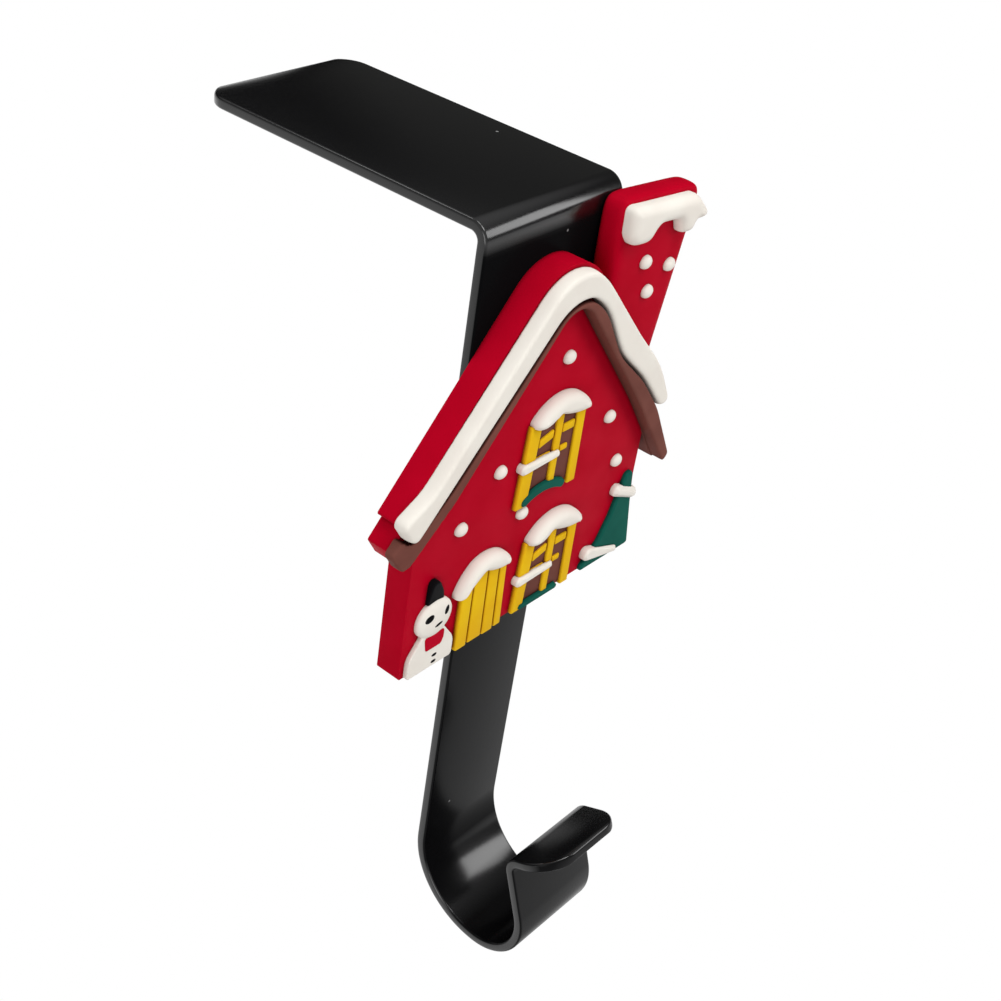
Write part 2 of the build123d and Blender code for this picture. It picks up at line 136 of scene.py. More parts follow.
# Soft vinyl: each colour was poured into its own part of the mould, even and satin, and a little cloudy.
# Each colour is painted darker, as painted shade, in its crevices, under pads and where two colours meet.
vinyls = {
    "house_red": {"colour": (174, 3, 32), "cloud": (166, 2, 28), "crevice": (105, 0, 14), "rough": 0.42},
    "snow_white": {"colour": (229, 224, 215), "cloud": (223, 216, 207), "crevice": (178, 164, 156),
                   "rough": 0.5},
    "board_brown": {"colour": (112, 68, 60), "cloud": (100, 60, 53), "crevice": (44, 16, 14), "rough": 0.5,
                    "reach": 0.0026},  # its painted shade reaches further, under the roof snow
    "frame_yellow": {"colour": (224, 182, 24), "cloud": (220, 166, 24), "crevice": (150, 78, 12),
                     "rough": 0.42},
    "leaf_green": {"colour": (20, 86, 74), "cloud": (18, 76, 66), "crevice": (8, 40, 34), "rough": 0.45},
    "trim_black": {"colour": (18, 18, 20), "cloud": (13, 13, 15), "crevice": (8, 8, 9), "rough": 0.4},
    "scarf_red": {"colour": (178, 4, 36), "cloud": (168, 2, 30), "crevice": (105, 0, 14), "rough": 0.45},
}
vinylSet = {
    "specular": 0.012,
    "cloudSize": 140, "cloudDetail": 3, "cloudBand": (0.35, 0.65), "cloudShare": 0.7, "cloudRough": 0.08,
    "grainSize": 5200, "grainDepth": 0.00004, "grainStrength": 0.12, "grainRough": 0.06,
    # painted shade in crevices: how far ambient occlusion looks, its band, and its rays
    "creviceReach": 0.0011, "creviceBand": (0.3, 0.85), "creviceRays": 6,
}


def vinyl(slot):
    coat = vinyls[slot]
    finish = Finish(slot)
    place = finish.node("ShaderNodeTexCoord", out=3)
    cloud = finish.noise(place, vinylSet["cloudSize"], vinylSet["cloudDetail"])
    cloud = finish.spread(cloud, *vinylSet["cloudBand"])
    grain = finish.noise(place, vinylSet["grainSize"])
    # painted shade: the colour is darkened towards a darker colour where ambient occlusion finds the surface
    # closed in
    openness = finish.node("ShaderNodeAmbientOcclusion", {"samples": vinylSet["creviceRays"]},
                           {"Distance": coat.get("reach", vinylSet["creviceReach"])}, 1)
    crevice = finish.spread(openness, *vinylSet["creviceBand"], 1, 0)
    colour = finish.mix(cloud * vinylSet["cloudShare"], linear(*coat["colour"]), linear(*coat["cloud"]))
    colour = finish.mix(crevice, colour, linear(*coat["crevice"]))
    rough = coat["rough"] + (cloud - 0.5) * vinylSet["cloudRough"] + (grain - 0.5) * vinylSet["grainRough"]
    bump = finish.node("ShaderNodeBump", {}, {
        "Strength": vinylSet["grainStrength"], "Distance": vinylSet["grainDepth"], "Height": grain})
    shader = finish.node("ShaderNodeBsdfPrincipled", {}, {
        "Base Color": colour, "Roughness": rough, "Normal": bump, "Specular IOR Level": vinylSet["specular"]})
    finish.node("ShaderNodeOutputMaterial", {}, {"Surface": shader})
    return finish.material


# Strap paint: smooth black with a faint orange peel and a few specks of dust. It has its full gloss on
# the tongue, the lip, the hook's curve and the cut edges, some on the hook's front wall, and is rubbed
# dull on the long drop. Behind the house's roof it is deepest.
paintSet = {
    "colour": (11, 11, 12), "rough": 0.2, "specular": 0.05, "coatRough": 0.17,
    "peelSize": 900, "peelDepth": 0.0001, "peelStrength": 0.05,
    "smearSize": 60, "smearDetail": 4, "smearBand": (0.35, 0.7), "smearRough": 0.06,
    "dust": (150, 150, 150), "dustCells": 210, "dustReach": (0.05, 0.085), "dustRough": 0.4,
    "dustPatches": 45, "dustFrom": 0.6,
    # heights and depths, in metres, at which each gloss begins and is full
    "tongue": (-0.0032, -0.0012), "lip": (-0.02, -0.024),
    "curveTop": (-0.1385, -0.1415), "curveFoot": (-0.1478, -0.1448), "curveFront": (-0.02, -0.015),
    "deepTop": (-0.0015, -0.004), "deepFoot": (-0.066, -0.056),
    # and parts of the surface's normal at which they do
    "lipUp": (0.6, 0.85), "edgeSideways": (0.75, 0.95), "wallForward": (-0.7, -0.9), "wallUp": (0.0, 0.25),
    "deepForward": (0.2, -0.2),
    "wallGloss": 0.3, "deepSpecular": 0.004,
}


def strapPaint():
    finish = Finish("strap_paint")
    place = finish.node("ShaderNodeTexCoord", out=3)
    peel = finish.noise(place, paintSet["peelSize"])
    smear = finish.noise(place, paintSet["smearSize"], paintSet["smearDetail"])
    smear = finish.spread(smear, *paintSet["smearBand"])
    cells = finish.node("ShaderNodeTexVoronoi", {}, {"Vector": place, "Scale": paintSet["dustCells"]})
    patches = finish.noise(place, paintSet["dustPatches"], 1) > paintSet["dustFrom"]
    specks = finish.spread(cells, *paintSet["dustReach"], 1, 0) * patches
    colour = finish.mix(specks, linear(*paintSet["colour"]), linear(*paintSet["dust"]))
    rough = paintSet["rough"] + smear * paintSet["smearRough"] + specks * paintSet["dustRough"]
    bump = finish.node("ShaderNodeBump", {}, {
        "Strength": paintSet["peelStrength"], "Distance": paintSet["peelDepth"], "Height": peel})

    def share(value, name):
        return finish.spread(value, *paintSet[name])

    back, level = finish.parts(place, 1, 2)
    sideways, behind, up = finish.parts(finish.node("ShaderNodeNewGeometry", out=1), 0, 1, 2)
    curve = share(level, "curveTop") * share(level, "curveFoot") * share(back, "curveFront")
    frontWall = share(behind, "wallForward") * share(up, "wallUp") * paintSet["wallGloss"]
    hookEnd = share(back, "lip") * (share(up, "lipUp") + frontWall)
    edges = share(sideways * sideways, "edgeSideways")
    gloss = finish.spread(share(level, "tongue") + curve + hookEnd + edges, 0, 1)
    dull, deep = [finish.node("ShaderNodeBsdfPrincipled", {}, {
        "Base Color": colour, "Roughness": rough, "Normal": bump, "Specular IOR Level": paintSet[specular],
        "Coat Weight": gloss, "Coat Roughness": paintSet["coatRough"],
    }) for specular in ("specular", "deepSpecular")]
    shaded = share(level, "deepTop") * share(level, "deepFoot") * share(behind, "deepForward")
    shader = finish.node("ShaderNodeMixShader", {}, {0: shaded, 1: dull, 2: deep})
    finish.node("ShaderNodeOutputMaterial", {}, {"Surface": shader})
    return finish.material


finishes = {slot: vinyl(slot) for slot in vinyls}
finishes["strap_paint"] = strapPaint()
slotOf = {part["node"]: part["material_slot"] for part in frame["record"]["subparts"]}
for name, node in nodes.items():
    node.data.materials.clear()
    node.data.materials.append(finishes[slotOf[name]])
print("finishes made")


def camel(name):
    first, *rest = name.split("_")
    return first + "".join(word.capitalize() for word in rest)


def addPiece(node, mesh, ending):  # mesh in mm, stands for the node
    for corner in mesh.vertices:
        corner.co *= mm
    mesh.polygons.foreach_set("use_smooth", [True] * len(mesh.polygons))
    piece = bpy.data.objects.new(camel(node) + ending, mesh)
    bpy.context.scene.collection.objects.link(piece)
    mesh.materials.clear()
    mesh.materials.append(finishes[slotOf[node]])
    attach(piece, "root")
    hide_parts(node)


def asMesh(shape):
    mesh = bpy.data.meshes.new("work")
    bmesh.ops.recalc_face_normals(shape, faces=shape.faces)
    shape.to_mesh(mesh)
    shape.free()
    return mesh


weld = 0.002  # corners closer than this, in mm, become one


def nodeShape(node):  # the node's solid in mm, welded
    shape = bmesh.new()
    shape.from_mesh(nodes[node].data)
    bmesh.ops.scale(shape, vec=(1 / mm,) * 3, verts=shape.verts)
    bmesh.ops.remove_doubles(shape, verts=shape.verts, dist=weld)
    return shape


def nodeBox(node):  # lowest and highest corner in mm
    low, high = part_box(node)
    return Vector(low) / mm, Vector(high) / mm


def cutAway(shape, place, outward):  # take off what lies outward of a plane and close the cut
    everything = shape.verts[:] + shape.edges[:] + shape.faces[:]
    cut = bmesh.ops.bisect_plane(shape, geom=everything, plane_co=place, plane_no=outward, clear_outer=True)
    rim = [edge for edge in cut["geom_cut"] if isinstance(edge, bmesh.types.BMEdge)]
    bmesh.ops.edgenet_fill(shape, edges=rim)


def withModifiers(shape, *steps):
    work = bpy.data.objects.new("work", asMesh(shape))
    bpy.context.scene.collection.objects.link(work)
    for kind, settings in steps:
        step = work.modifiers.new(kind, kind)
        for key, value in settings.items():
            setattr(step, key, value)
    bpy.context.view_layer.update()
    made = bpy.data.meshes.new_from_object(work.evaluated_get(bpy.context.evaluated_depsgraph_get()))
    bpy.data.objects.remove(work)
    return made


def softened(shape, voxel, rounds):
    return withModifiers(shape, ("REMESH", {"mode": "VOXEL", "voxel_size": voxel}),
                         ("SMOOTH", {"factor": 0.5, "iterations": rounds}))


# Strap: the folded sheet is swept along its bends with painted, rounded edges
strapSet = {
    "sheet": 2.0, "edge": 0.52, "edgeSteps": 4, "reach": 63.0, "halfWidth": 17.5, "hookHalfWidth": 11.0,
    "tongueCorner": 5.0, "lipCorner": 7.5, "lipFarCorner": 5.0,
    "shoulder": (-34.0, -52.0), "shoulderRound": 1.4,
    # straight runs are lengths, bends are (radius, turn in degrees)
    "path": (61.5, (1.5, 90), 131.2, (17.3, -90), (11.0, -110), 10.6, (1.5, 86), 8.7),
    # stations: degrees a step in a bend, steps in a run, and more of them near the run's ends
    "bendStep": 3, "bendLeast": 6, "runSteps": 30, "endAngles": range(5, 90, 6), "closest": 0.02,
}


def strapStations():  # (y, z, heading) along the sheet's shelf side
    y, z, heading = strapSet["reach"], 0.0, math.pi
    stations = [(y, z, heading)]
    steps = strapSet["runSteps"]
    close = [strapSet["lipCorner"] * (1 - math.cos(math.radians(angle))) for angle in strapSet["endAngles"]]
    for part in strapSet["path"]:
        if isinstance(part, tuple):
            radius, turn = part[0], math.radians(part[1])
            count = max(strapSet["bendLeast"], round(abs(part[1]) / strapSet["bendStep"]))
            step = turn / count
            chord = 2 * radius * math.sin(abs(step) / 2)
            for _ in range(count):
                y += chord * math.cos(heading + step / 2)
                z += chord * math.sin(heading + step / 2)
                heading += step
                stations.append((y, z, heading))
        else:
            even = [part * k / steps for k in range(1, steps + 1)]
            done = 0.0
            for run in sorted({*even, *close, *[part - run for run in close]}):
                if done + strapSet["closest"] < run <= part:
                    y += (run - done) * math.cos(heading)
                    z += (run - done) * math.sin(heading)
                    done = run
                    stations.append((y, z, heading))
    return stations


def strapHalfWidth(z):
    wide, narrow = strapSet["halfWidth"], strapSet["hookHalfWidth"]
    top, foot = strapSet["shoulder"]
    blend = strapSet["shoulderRound"]
    slope = (wide - narrow) / (top - foot)

    def softRamp(value):  # zero, then rising, with a soft start
        if value < -blend:
            return 0.0
        return value if value > blend else (value + blend) ** 2 / (4 * blend)
    return wide - slope * (softRamp(top - z) - softRamp(foot - z))


def hookStrap():
    shape = bmesh.new()
    stations = strapStations()
    lengths = [0.0]
    for before, after in zip(stations, stations[1:]):
        lengths.append(lengths[-1] + math.dist(before[:2], after[:2]))
    total, rings = lengths[-1], []
    sheet, edge, steps = strapSet["sheet"], strapSet["edge"], strapSet["edgeSteps"]
    for (y, z, heading), run in zip(stations, lengths):
        halves = {1: strapHalfWidth(z), -1: strapHalfWidth(z)}
        squeeze = 0.0
        tongueCorner = strapSet["tongueCorner"]
        corners = ((run, tongueCorner, 1), (run, tongueCorner, -1),
                   (total - run, strapSet["lipFarCorner"], 1), (total - run, strapSet["lipCorner"], -1))
        for away, corner, flank in corners:
            if away < corner:
                halves[flank] -= corner - math.sqrt(corner ** 2 - (corner - away) ** 2)
            if away < edge:
                squeeze = edge - math.sqrt(edge ** 2 - (edge - away) ** 2)
        ring = []
        for flank, face, start in ((1, 1, 0), (-1, 1, 90), (-1, -1, 180), (1, -1, 270)):
            for k in range(steps + 1):
                angle = math.radians(start + 90 / steps * k)
                across = flank * (halves[flank] - edge) + edge * math.cos(angle)
                level = face * (sheet / 2 - edge) + edge * math.sin(angle)
                level = sheet / 2 + level * (1 - squeeze)
                place = (across, y + level * math.sin(heading), z - level * math.cos(heading))
                ring.append(shape.verts.new(place))
        rings.append(ring)
    count = len(rings[0])
    for before, after in zip(rings, rings[1:]):
        for k in range(count):
            beside = (k + 1) % count
            shape.faces.new((before[k], before[beside], after[beside], after[k]))
    shape.faces.new(rings[0][::-1])
    shape.faces.new(rings[-1])
    addPiece("hook_strap", asMesh(shape), "Sheet")


hookStrap()
print("strap swept")

# House body and panes: flat mouldings with soft edges. The body is cut along its right roof line,
# because the chimney over it is rounder than the rest.
roofLine = {"ridge": (-0.6, 0.0, -1.9), "pitch": 46.8, "clear": 0.05}
slabs = {
    "house_body": {"round": 0.65, "steps": 4, "cut": True},
    "upper_window_panes": {"round": 0.15, "steps": 2},
    "lower_window_panes": {"round": 0.15, "steps": 2},
}
# Degrees at which faces count as flat, an edge is rounded and shading breaks. Edges that run
# from front to back are rounded by a share only.
slabSet = {"flat": 0.6, "roundFrom": 40, "sharpFrom": 35, "depthShare": 0.3, "depthwise": 0.9}


def slab(node):
    make = slabs[node]
    shape = nodeShape(node)
    if make.get("cut"):
        lean = math.radians(roofLine["pitch"])
        outward = Vector((math.sin(lean), 0, math.cos(lean)))
        cutAway(shape, Vector(roofLine["ridge"]) + outward * roofLine["clear"], outward)
    bmesh.ops.dissolve_limit(shape, angle_limit=math.radians(slabSet["flat"]),
                             verts=shape.verts, edges=shape.edges)
    weights = shape.edges.layers.float.new("bevel_weight_edge")
    for edge in shape.edges:
        if edge.calc_face_angle(0) > math.radians(slabSet["roundFrom"]):
            along = (edge.verts[1].co - edge.verts[0].co).normalized()
            edge[weights] = slabSet["depthShare"] if abs(along.y) > slabSet["depthwise"] else 1.0
    mesh = withModifiers(shape, ("BEVEL", {
        "width": make["round"], "segments": make["steps"], "limit_method": "WEIGHT",
        "use_clamp_overlap": True}))
    addPiece(node, mesh, "Slab")
    mesh.set_sharp_from_angle(angle=math.radians(slabSet["sharpFrom"]))


for node in slabs:
    slab(node)
print("slabs rounded")

# Snow bars and greenery: soft pads whose feet run into the wall behind them
pads = {
    "upper_window_sill_snow": {"voxel": 0.08, "rounds": 10},
    "lower_window_sill_snow": {"voxel": 0.08, "rounds": 10},
    "upper_window_garland": {"voxel": 0.09, "rounds": 8},
    "lower_window_garland": {"voxel": 0.09, "rounds": 8},
    "snowman_scarf": {"voxel": 0.08, "rounds": 60},
    "tree": {"voxel": 0.12, "rounds": 10},
    "tree_upper_snow": {"voxel": 0.09, "rounds": 14},
    "tree_lower_snow": {"voxel": 0.09, "rounds": 14},
}
padSet = {"sink": 0.6, "footDrop": 0.2, "footNear": 0.05}


def sunkShape(node):
    shape = nodeShape(node)
    back = max(corner.co.y for corner in shape.verts)
    for corner in shape.verts:
        if corner.co.y > back - near:
            corner.co.y += padSet["sink"]
        if corner.co.z < houseFoot + padSet["footNear"]:
            corner.co.z -= padSet["footDrop"]
    return shape


for node, pad in pads.items():
    addPiece(node, softened(sunkShape(node), pad["voxel"], pad["rounds"]), "Pad")
print("pads softened")

# Snow, board and hat: beads drawn again from the outline of one of their faces, the foremost (min)
# or the hindmost (max). The outline is grown, then evened out, and more so between two places across.
# An end (start, full, reach, facing) grows further where the outline faces that way. The bead's rise
# goes from its foot to its top, and it may be lower, or hang lower, at its left end.
beads = {
    "roof_snow": {"face": max, "even": 0.5, "evenMore": (2.0, 4.0, 29.0), "rise": (2.7, 2.7), "sink": 0.1,
                  "puff": 0.5, "voxel": 0.18, "rounds": 24,
                  "ends": ((-6.0, -34.0, 0.8, (-0.7, 0.7)), (20.0, 30.0, 0.9, (0.8, 0.2)))},
    "eave_board": {"face": max, "grow": -0.12, "even": 0.25, "evenMore": (2.0, 4.0, 33.0),
                   "rise": (2.7, 2.7), "leftRise": (-38.0, -26.0, 0.5), "voxel": 0.15, "rounds": 30,
                   "ends": ((-33.0, -36.0, 1.1, (-1.0, 0.0)),)},
    "chimney_snow": {"face": max, "even": 0.45, "rise": (2.4, 2.4), "sink": 0.7, "puff": 1.8,
                     "voxel": 0.13, "rounds": 30},
    "upper_window_snow_cap": {"face": min, "grow": 0.75, "even": 0.3, "rise": (2.5, 2.5), "puff": 1.7,
                              "voxel": 0.12, "rounds": 30},
    "lower_window_snow_cap": {"face": min, "grow": 0.75, "even": 0.3, "rise": (2.5, 2.5), "puff": 1.7,
                              "voxel": 0.12, "rounds": 30},
    "door_snow": {"face": min, "grow": 0.75, "even": 0.3, "rise": (2.4, 2.4), "puff": 1.6,
                  "voxel": 0.12, "rounds": 30, "leftDrop": (4.0, 0.9)},
    "snowman_hat": {"face": min, "even": 0.3, "rise": (0.5, 1.4), "voxel": 0.08, "rounds": 60},
}
beadSet = {"spacing": 0.2, "sink": 0.6, "puffSteps": 7, "puffFoot": 0.3}
# The board's tail, right of the wall, goes back to the house's rear
tailSet = {"left": 30.4, "grow": 0.05, "even": 0.15, "rise": (0.1, 0.1), "sink": 4.9,
           "voxel": 0.15, "rounds": 4}
# The chimney block: its corners go round from its left foot. Its front lies just behind the wall's
# front, and its back stands just proud of the wall's back, where it covers the cut.
chimneySet = {"corners": ((11.8, -31.0), (11.8, 0.3), (33.6, -1.8), (27.05, -35.8)), "grow": 0.7,
              "even": 1.7, "rise": (-0.02, -0.02), "sink": 5.06, "voxel": 0.2, "rounds": 280}


def outline(node, pick):  # (x, z) points round the node's foremost or hindmost face
    shape = nodeShape(node)
    level = pick(corner.co.y for corner in shape.verts)
    flat = {face for face in shape.faces if all(abs(corner.co.y - level) < near for corner in face.verts)}
    rim = [edge for edge in shape.edges if sum(face in flat for face in edge.link_faces) == 1]
    nextTo = {}
    for edge in rim:
        first, second = edge.verts
        nextTo.setdefault(first, []).append(second)
        nextTo.setdefault(second, []).append(first)
    start = rim[0].verts[0]
    loop, before, here = [start], start, nextTo[start][0]
    while here is not start:
        loop.append(here)
        before, here = here, next(corner for corner in nextTo[here] if corner is not before)
    points = [Vector((corner.co.x, corner.co.z)) for corner in loop]
    shape.free()
    return points


def evened(points, reach, more=None):  # the loop at even spacing, its kinks spread over the reach
    spacing = beadSet["spacing"]
    loop, left = [], 0.0
    for here, after in zip(points, points[1:] + points[:1]):
        length = (after - here).length
        while left < length:
            loop.append(here.lerp(after, left / length))
            left += spacing
        left -= length
    for spread, low, high in ((reach, -math.inf, math.inf), more or (0.0, 0.0, 0.0)):
        for _ in range(round(2 * (spread / spacing) ** 2)):
            middles = [(loop[k - 1] + 2 * loop[k] + loop[(k + 1) % len(loop)]) / 4 for k in range(len(loop))]
            loop = [middle if low < point.x < high else point for point, middle in zip(loop, middles)]
    return loop


def grown(loop, reach):  # the loop moved outwards, or inwards where the reach is negative
    turns = sum(here.cross(after) for here, after in zip(loop, loop[1:] + loop[:1]))
    reach = math.copysign(1, turns) * reach
    moved = []
    for k, point in enumerate(loop):
        along = (loop[(k + 1) % len(loop)] - loop[k - 1]).normalized() * reach
        moved.append(point + Vector((along.y, -along.x)))
    return moved


def ramp(value, start, full):  # 0 before the start, 1 past the full place
    return min(1.0, max(0.0, (value - start) / (full - start)))


def endGrown(loop, start, full, reach, facing):  # one end of the loop moved out where it faces one way
    moved = []
    for point, outer in zip(loop, grown(loop, 1.0)):
        side = outer - point
        moved.append(point + side * reach * ramp(point.x, start, full) * max(0.0, side.dot(Vector(facing))))
    return moved


def beadMesh(loop, make):  # a puffed bead draws in from its rim like a quarter of an ellipse
    foot, top = min(point.y for point in loop), max(point.y for point in loop)
    footRise, topRise = make["rise"]
    start, full, low = make.get("leftRise", (0.0, 1.0, 1.0))
    rises = []
    for point in loop:
        rise = footRise + (point.y - foot) / (top - foot) * (topRise - footRise)
        rises.append(rise * (low + (1 - low) * ramp(point.x, start, full)))
    shape = bmesh.new()
    sink = make.get("sink", beadSet["sink"])
    layers = [[shape.verts.new((point.x, wallFront + sink, point.y)) for point in loop]]
    puff, rim, steps = make.get("puff", 0.0), beadSet["puffFoot"], beadSet["puffSteps"]
    angles = [math.pi / 2 * k / steps for k in range(steps + 1)] if puff else [math.pi / 2]
    for angle in angles:
        height = rim + (1 - rim) * math.sin(angle)
        inner = grown(loop, -puff * (1 - math.cos(angle)))
        layers.append([shape.verts.new((point.x, wallFront - rise * height, point.y))
                       for point, rise in zip(inner, rises)])
    shape.faces.new(layers[-1])
    shape.faces.new(layers[0][::-1])
    for behind, before in zip(layers, layers[1:]):
        for k in range(len(loop)):
            after = (k + 1) % len(loop)
            shape.faces.new((before[k], behind[k], behind[after], before[after]))
    bmesh.ops.triangulate(shape, faces=shape.faces[:])
    return softened(shape, make["voxel"], make["rounds"])


def bead(node):
    make = beads[node]
    loop = evened(outline(node, make["face"]), 0.0)
    loop = evened(grown(loop, make.get("grow", 0.0)), make["even"], make.get("evenMore"))
    for end in make.get("ends", ()):
        loop = endGrown(loop, *end)
    reach, drop = make.get("leftDrop", (1.0, 0.0))
    left = min(point.x for point in loop)
    loop = [Vector((point.x, point.y - drop * max(0.0, 1 - (point.x - left) / reach))) for point in loop]
    addPiece(node, beadMesh(loop, make), "Bead")


def boardTail():
    loop = evened(outline("eave_board", max), 0.0)
    start = min(range(len(loop)), key=lambda k: loop[k].x)
    loop = [point for point in loop[start:] + loop[:start] if point.x > tailSet["left"]]
    loop = evened(grown(loop, tailSet["grow"]), tailSet["even"])
    addPiece("eave_board", beadMesh(loop, tailSet), "Tail")


def chimneyBlock():
    loop = evened([Vector(corner) for corner in chimneySet["corners"]], 0.0)
    loop = evened(grown(loop, chimneySet["grow"]), chimneySet["even"])
    addPiece("house_body", beadMesh(loop, chimneySet), "Chimney")


for node in beads:
    bead(node)
boardTail()
chimneyBlock()
print("beads made")

# Window frames and door: round-edged bars with a fine dark gap at each joint
barSet = {"round": 0.32, "steps": 4, "sink": 0.3}
windowSet = {
    "leftPost": 3.0, "middlePost": 1.8, "rightPost": 2.3, "lean": 1.0, "rightLean": 1 / 3,
    "capDrip": 0.9, "rightDrop": 0.5, "middleFoot": 1.2, "gap": 0.28, "rise": 0.95, "crossRise": 0.85,
    # each crossbar is (drop from the snow cap, height, tilt, how far it reaches to the right post)
    "crossbars": ((4.1, 1.7, 0.45, 1.0), (7.8, 1.2, 0.0, 0.65)),
}
doorSet = {"planks": (3.2, 3.9, 3.2, 2.2), "feet": (0.35, 0.15, 0.3, 0.1), "top": 0.4, "gap": 0.34,
           "rise": 1.0, "lean": 0.8, "boardRise": 0.3, "boardTop": 1.02}


def addBar(shape, corners, rise):  # corners (x, z) go round anticlockwise as seen from the front
    back = [shape.verts.new((x, wallFront + barSet["sink"], z)) for x, z in corners]
    front = [shape.verts.new((x, wallFront - rise, z)) for x, z in corners]
    shape.faces.new(front)
    shape.faces.new(back[::-1])
    count = len(corners)
    for k in range(count):
        after = (k + 1) % count
        shape.faces.new((front[k], back[k], back[after], front[after]))
    edges = {edge for corner in front for edge in corner.link_edges}
    bmesh.ops.bevel(shape, geom=list(edges), offset=barSet["round"], segments=barSet["steps"], profile=0.5,
                    affect="EDGES", clamp_overlap=True)


def upright(left, right, foot, top, leftLean=0.0, rightLean=0.0):
    return (left, foot), (right, foot), (right + rightLean, top), (left + leftLean, top)


def windowFrame(side):
    low, high = nodeBox(side + "_window_frame")
    garland = nodeBox(side + "_window_garland")[1].z
    capEnd = high.z - windowSet["capDrip"]
    lean, rightLean, gap = windowSet["lean"], windowSet["rightLean"], windowSet["gap"]
    rise, crossRise = windowSet["rise"], windowSet["rise"] * windowSet["crossRise"]
    shape = bmesh.new()
    leftInner, rightInner = low.x + windowSet["leftPost"], high.x - windowSet["rightPost"]
    middle = (leftInner + rightInner + lean - windowSet["middlePost"]) / 2
    middleEnd = middle + windowSet["middlePost"]
    addBar(shape, upright(low.x, leftInner, low.z, capEnd, lean, lean), rise)
    rightTop = capEnd - windowSet["rightDrop"]
    addBar(shape, upright(rightInner, high.x, low.z, rightTop, -rightLean, -rightLean), rise)
    addBar(shape, upright(middle, middleEnd, garland - windowSet["middleFoot"], high.z), rise)
    for drop, bar, tilt, reach in windowSet["crossbars"]:
        level, half = capEnd - drop, bar / 2
        share = (level - low.z) / (capEnd - low.z)
        start = leftInner + gap + lean * share
        addBar(shape, ((start, level - half - tilt), (middle - gap, level - half + tilt),
                       (middle - gap, level + half + tilt), (start, level + half - tilt)), crossRise)
        first, last = middleEnd + gap, rightInner - gap - rightLean * share
        end = first + reach * (last - first)
        addBar(shape, upright(first, end, level - half + tilt, level + half + tilt), crossRise)
    addPiece(side + "_window_frame", asMesh(shape), "Bars")


def doorBoards():  # a low board with a plank for each stripe over it
    low, high = nodeBox("door")
    shape = bmesh.new()
    left, gap, lean = low.x, doorSet["gap"], doorSet["lean"]
    width = high.x - low.x
    board = upright(low.x + gap, high.x - gap, low.z + gap, high.z - doorSet["boardTop"], 0, -lean)
    addBar(shape, board, doorSet["boardRise"])
    for plank, foot in zip(doorSet["planks"], doorSet["feet"]):
        right = left + plank
        first, last = (left - low.x) / width, (right - low.x) / width
        addBar(shape, upright(left + gap / 2, right - gap / 2, low.z - foot, high.z - doorSet["top"],
                              -first * lean, -last * lean), doorSet["rise"])
        left = right
    addPiece("door", asMesh(shape), "Planks")


for side in ("upper", "lower"):
    windowFrame(side)
doorBoards()
print("window bars and door planks made")

# Snow dots and snowman: domes that stand on the wall
domeSet = {"dotRise": 1.1, "dotHeight": 0.87, "dotFullness": 0.8, "rings": 20, "around": 40}
snowmanSet = {"neck": 7.6, "headLevel": 10.56, "headHalf": (4.4, 3.9), "headRise": 1.55, "fullness": 0.55,
              "voxel": 0.09, "rounds": 10}
markSet = {
    "rise": 0.1, "fall": 6, "around": 28, "rings": (0.4, 0.75, 0.92, 1.0), "skirt": 0.98, "skirtSink": 0.25,
    "middleSink": 0.3, "lookFrom": 20.0,
    # tilt in degrees, stretch along it and across it
    "shapes": {"snowman_left_eye": (24, 1.3, 0.95), "snowman_right_eye": (-28, 1.2, 1.2),
               "snowman_mouth": (12, 1.2, 1.2)},
}


def addDome(shape, x, z, halfWidth, halfHeight, rise, fullness):
    ball = bmesh.ops.create_uvsphere(shape, u_segments=domeSet["around"], v_segments=domeSet["rings"],
                                     radius=1.0)
    for corner in ball["verts"]:
        across, up, out = corner.co
        lift = math.copysign(abs(out) ** fullness, out) * (rise if out > 0 else padSet["sink"])
        corner.co = (x + across * halfWidth, wallFront - lift, z + up * halfHeight)


def snowDot(node):
    low, high = nodeBox(node)
    middle, half = (low + high) / 2, (high - low) / 2
    shape = bmesh.new()
    addDome(shape, middle.x, middle.z, half.x, half.z * domeSet["dotHeight"],
            domeSet["dotRise"], domeSet["dotFullness"])
    addPiece(node, asMesh(shape), "Dome")


def snowman():  # the head is a dome of its own over the flat body
    low, high = nodeBox("snowman")
    shape = sunkShape("snowman")
    cutAway(shape, Vector((0, 0, houseFoot + snowmanSet["neck"])), Vector((0, 0, 1)))
    halfWidth, halfHeight = snowmanSet["headHalf"]
    addDome(shape, (low.x + high.x) / 2, houseFoot + snowmanSet["headLevel"], halfWidth, halfHeight,
            snowmanSet["headRise"], snowmanSet["fullness"])
    mesh = softened(shape, snowmanSet["voxel"], snowmanSet["rounds"])
    skin = BVHTree.FromPolygons([corner.co.copy() for corner in mesh.vertices],
                                [face.vertices for face in mesh.polygons])
    addPiece("snowman", mesh, "Pad")
    return skin


